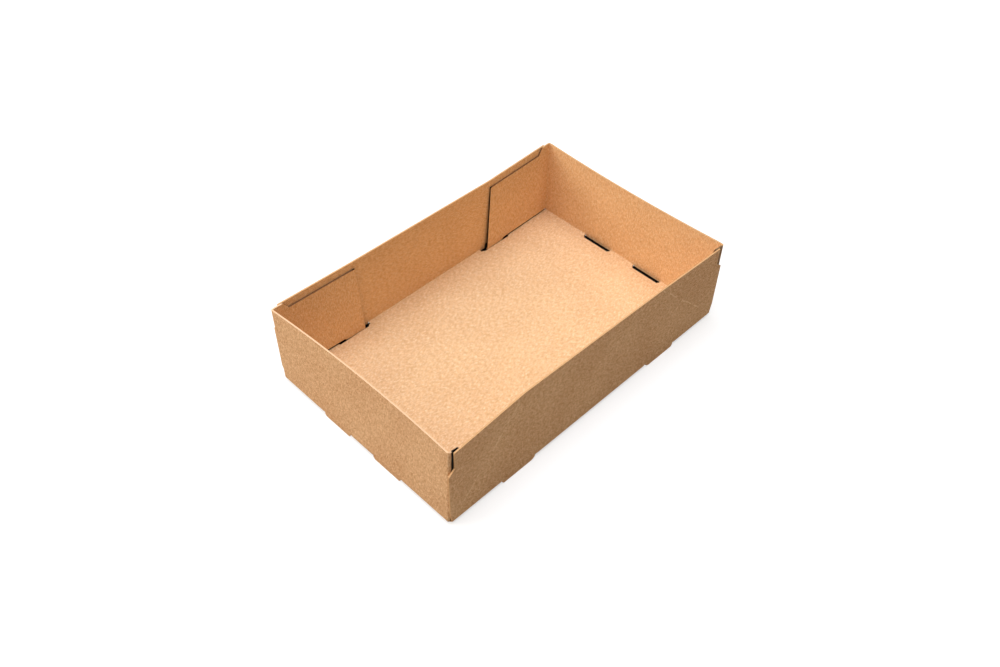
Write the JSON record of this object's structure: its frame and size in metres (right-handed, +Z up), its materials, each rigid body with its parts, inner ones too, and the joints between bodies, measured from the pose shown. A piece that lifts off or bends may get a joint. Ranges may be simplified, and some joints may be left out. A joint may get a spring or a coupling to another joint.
{
  "type": "cardboard tray box",
  "caption": "Open tray box folded from a kraft card blank, with glued corner flaps locked into slots in its base and short lips under the walls as feet",
  "frame": {"origin": "middle of the tray in plan, on the plane that the tips of the lips stand on", "axes": "+X along the long sides, +Y across to the back long side, +Z up"},
  "size_m": [0.2, 0.1284, 0.0517],
  "materials": {
    "kraft_card": "matt brown kraft board with fine fibres, 0.8 mm thick"
  },
  "bodies": {
    "root": {"tray": "kraft_card"}
  },
  "joints": []
}
